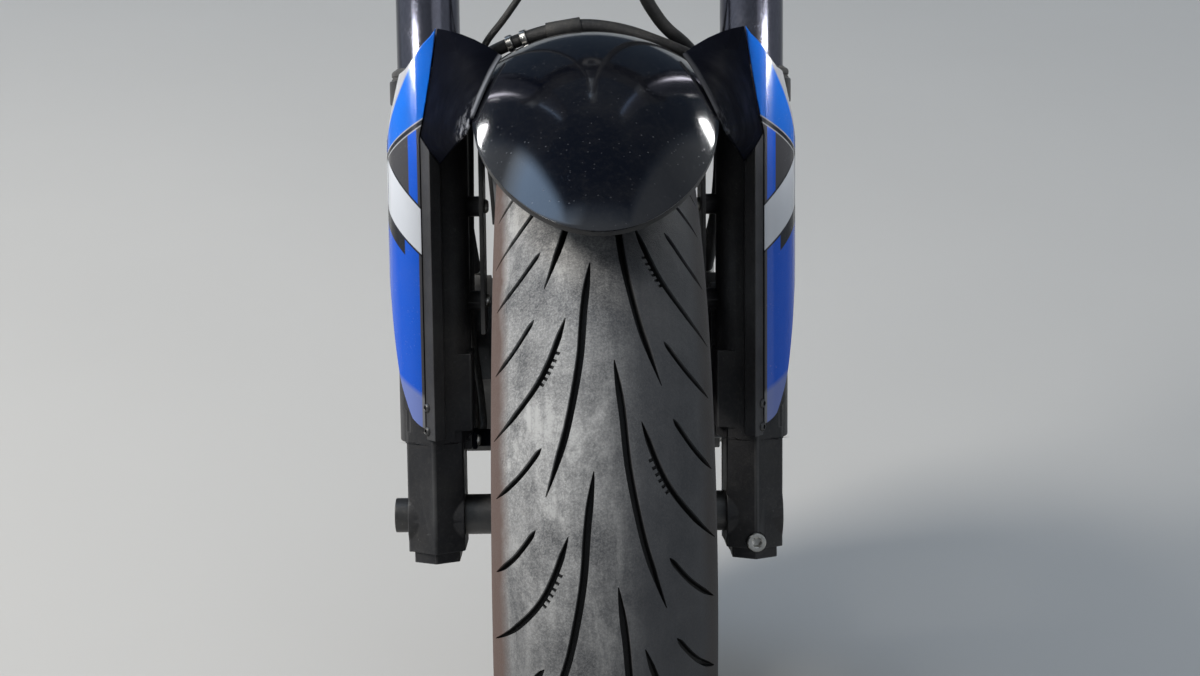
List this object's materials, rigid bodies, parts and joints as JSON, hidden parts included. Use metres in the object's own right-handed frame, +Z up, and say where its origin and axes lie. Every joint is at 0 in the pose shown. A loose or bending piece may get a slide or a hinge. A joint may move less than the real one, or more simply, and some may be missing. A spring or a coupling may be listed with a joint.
{
  "type": "motorcycle front end with fork, wheel, brakes and mudguard",
  "caption": "Sport touring motorcycle front end: telescopic fork with lower yoke, leg guards, mudguard, twin disc brakes and a treaded front wheel that spins freely.",
  "frame": {"origin": "on the steering axis, midway along the stem's bearing length, between the lower head bearing and the shoulder of the neck", "axes": "+Z up with the steering axis leaning 25 degrees back, -Y forwards, +X to the right as seen from the front"},
  "size_m": [0.28, 0.6397, 0.9648],
  "materials": {
    "chrome_tube": "polished hard chrome",
    "black_alloy": "black anodised",
    "rubber": "matt",
    "satin_black_casting": "satin black paint on a casting",
    "caliper_paint": "satin black paint",
    "pad": "sintered lining on a steel plate",
    "zinc_steel": "zinc plated",
    "black_steel": "black oxide",
    "disc_steel": "ground stainless steel",
    "carrier_alloy": "anodised",
    "black_plastic": "fine-grained",
    "blue_panel": "bright blue lacquer with a white band",
    "grey_trim": "matt dark grey",
    "stem_steel": "turned steel",
    "bearing_steel": "ground steel",
    "yoke_casting": "satin black paint on a casting",
    "gloss_black": "gloss black lacquer",
    "hose": "satin black cover",
    "rim_paint": "satin black paint",
    "tyre": "dusty worn rubber"
  },
  "bodies": {
    "fork": {"axle": "black_steel", "axle_pinch_bolt": "zinc_steel", "brake_hose_crossover": "hose", "brake_hose_main": "hose", "brake_pads_left": "pad", "brake_pads_right": "pad", "caliper_bolts_left": "zinc_steel", "caliper_bolts_right": "zinc_steel", "caliper_left": "caliper_paint", "caliper_right": "caliper_paint", "dust_seal_left": "rubber", "dust_seal_right": "rubber", "fork_cap_left": "black_alloy", "fork_cap_right": "black_alloy", "fork_cover_left": "black_plastic", "fork_cover_right": "black_plastic", "fork_tube_left": "chrome_tube", "fork_tube_right": "chrome_tube", "guard_trim_left": "grey_trim", "guard_trim_right": "grey_trim", "hose_banjos": "zinc_steel", "leg_guard_left": "blue_panel", "leg_guard_right": "blue_panel", "lower_leg_left": "satin_black_casting", "lower_leg_right": "satin_black_casting", "lower_yoke": "yoke_casting", "mudguard_blade": "gloss_black", "sensor_wire": "rubber", "speed_sensor": "black_plastic", "steering_stem": "stem_steel", "stem_bearing": "bearing_steel", "wheel_spacer_left": "black_steel", "wheel_spacer_right": "black_steel", "yoke_bolts": "zinc_steel"},
    "wheel": {"wheel_rim": "rim_paint", "wheel_bearings": "bearing_steel", "tyre": "tyre", "valve_stem": "rubber", "speed_ring": "bearing_steel", "brake_disc_left": "disc_steel", "brake_disc_right": "disc_steel", "disc_carrier_left": "carrier_alloy", "disc_carrier_right": "carrier_alloy"}
  },
  "joints": [
    {"name": "wheel_spin", "type": "hinge", "parent": "fork", "child": "wheel", "pos_m": [0, -0.27844, -0.52612], "axis": [1, 0, 0], "continuous": true}
  ]
}
